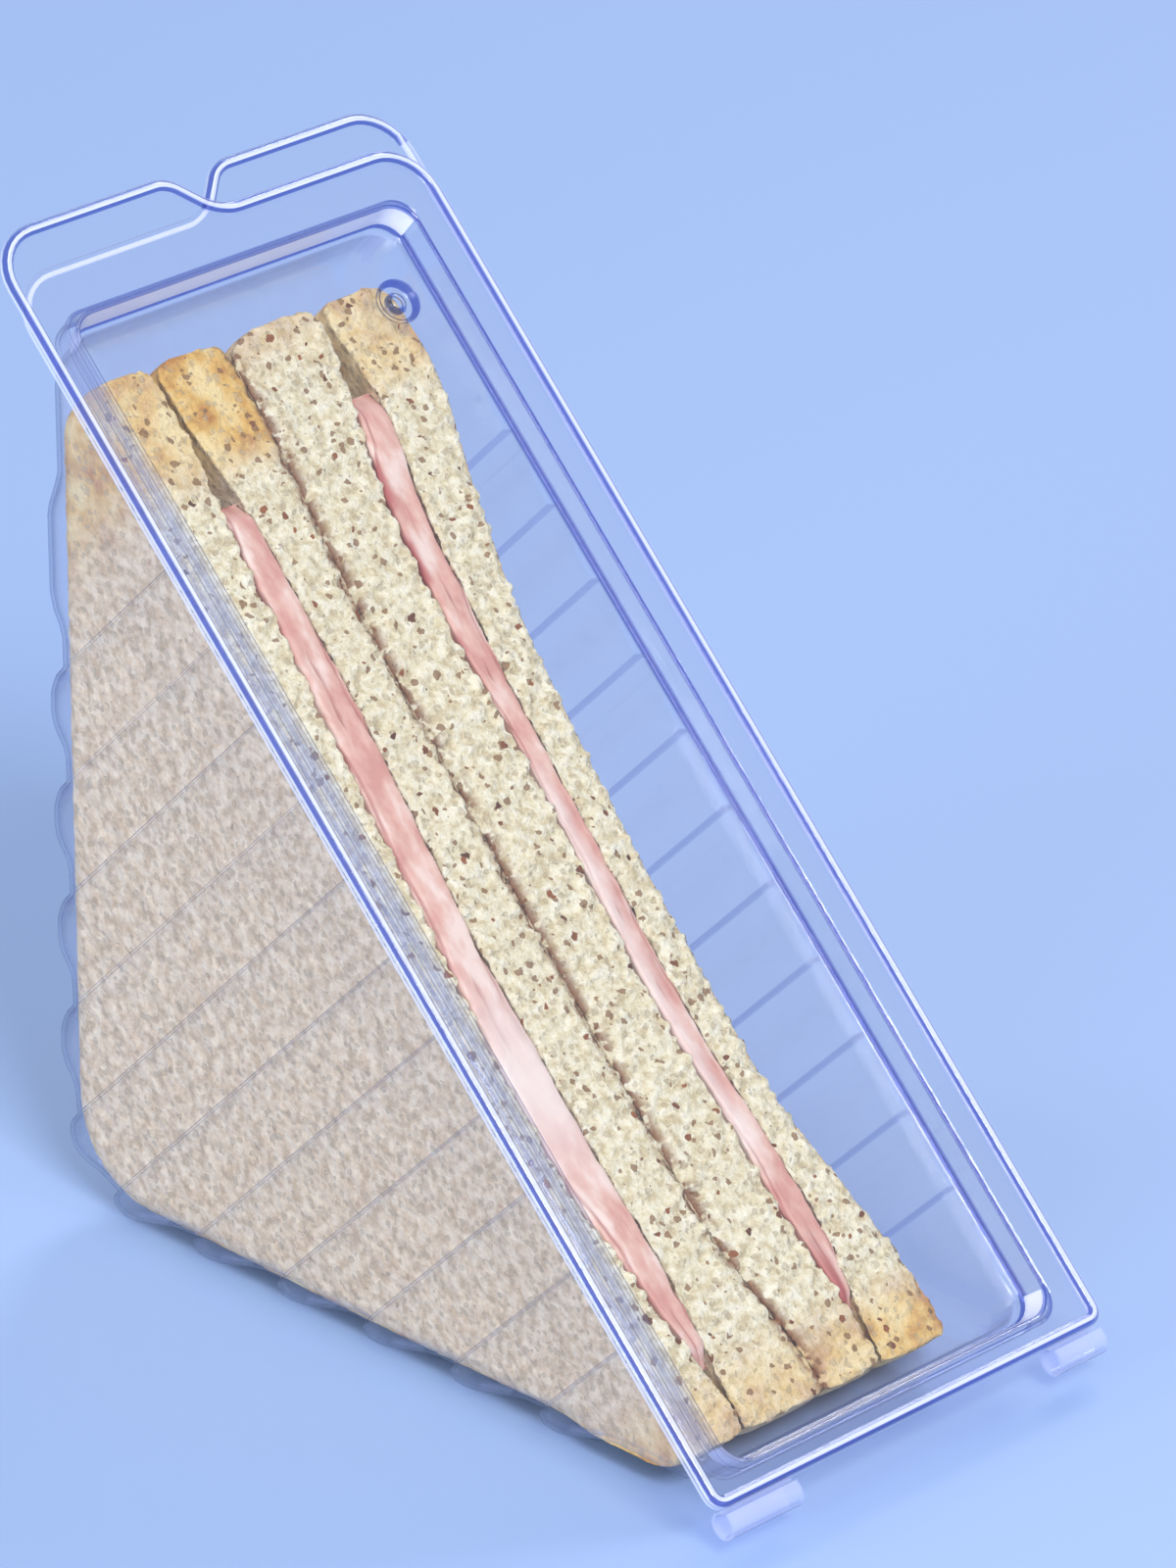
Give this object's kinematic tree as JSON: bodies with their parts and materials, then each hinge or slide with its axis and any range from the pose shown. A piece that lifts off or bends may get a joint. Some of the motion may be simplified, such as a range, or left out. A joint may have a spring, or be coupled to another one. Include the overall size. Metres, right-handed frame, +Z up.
{
  "type": "hinged plastic sandwich wedge pack",
  "caption": "Clear ribbed wedge pack with a hinged flat lid and thumb tabs, holding diagonal-cut ham sandwiches.",
  "frame": {"origin": "centre of the bounding box on the surface that the pack stands on", "axes": "+Z up, +X across the window to the right, the window faces -Y and up, the upright ribbed wall is at +Y"},
  "size_m": [0.075, 0.1416, 0.1469],
  "materials": {
    "clear_plastic": "clear, glossy",
    "bread": "open crumb with a baked crust",
    "ham": "moist, slightly shiny"
  },
  "bodies": {
    "base": {"tray": "clear_plastic", "hinge_left": "clear_plastic", "hinge_right": "clear_plastic", "bread_slice_1": "bread", "bread_slice_2": "bread", "bread_slice_3": "bread", "bread_slice_4": "bread", "ham_left": "ham", "ham_right": "ham"},
    "lid": {"lid": "clear_plastic"}
  },
  "joints": [
    {"name": "lid_hinge", "type": "hinge", "parent": "base", "child": "lid", "pos_m": [0, -0.06915, 0.00778], "axis": [1, 0, 0], "range_deg": [0, 130]}
  ]
}
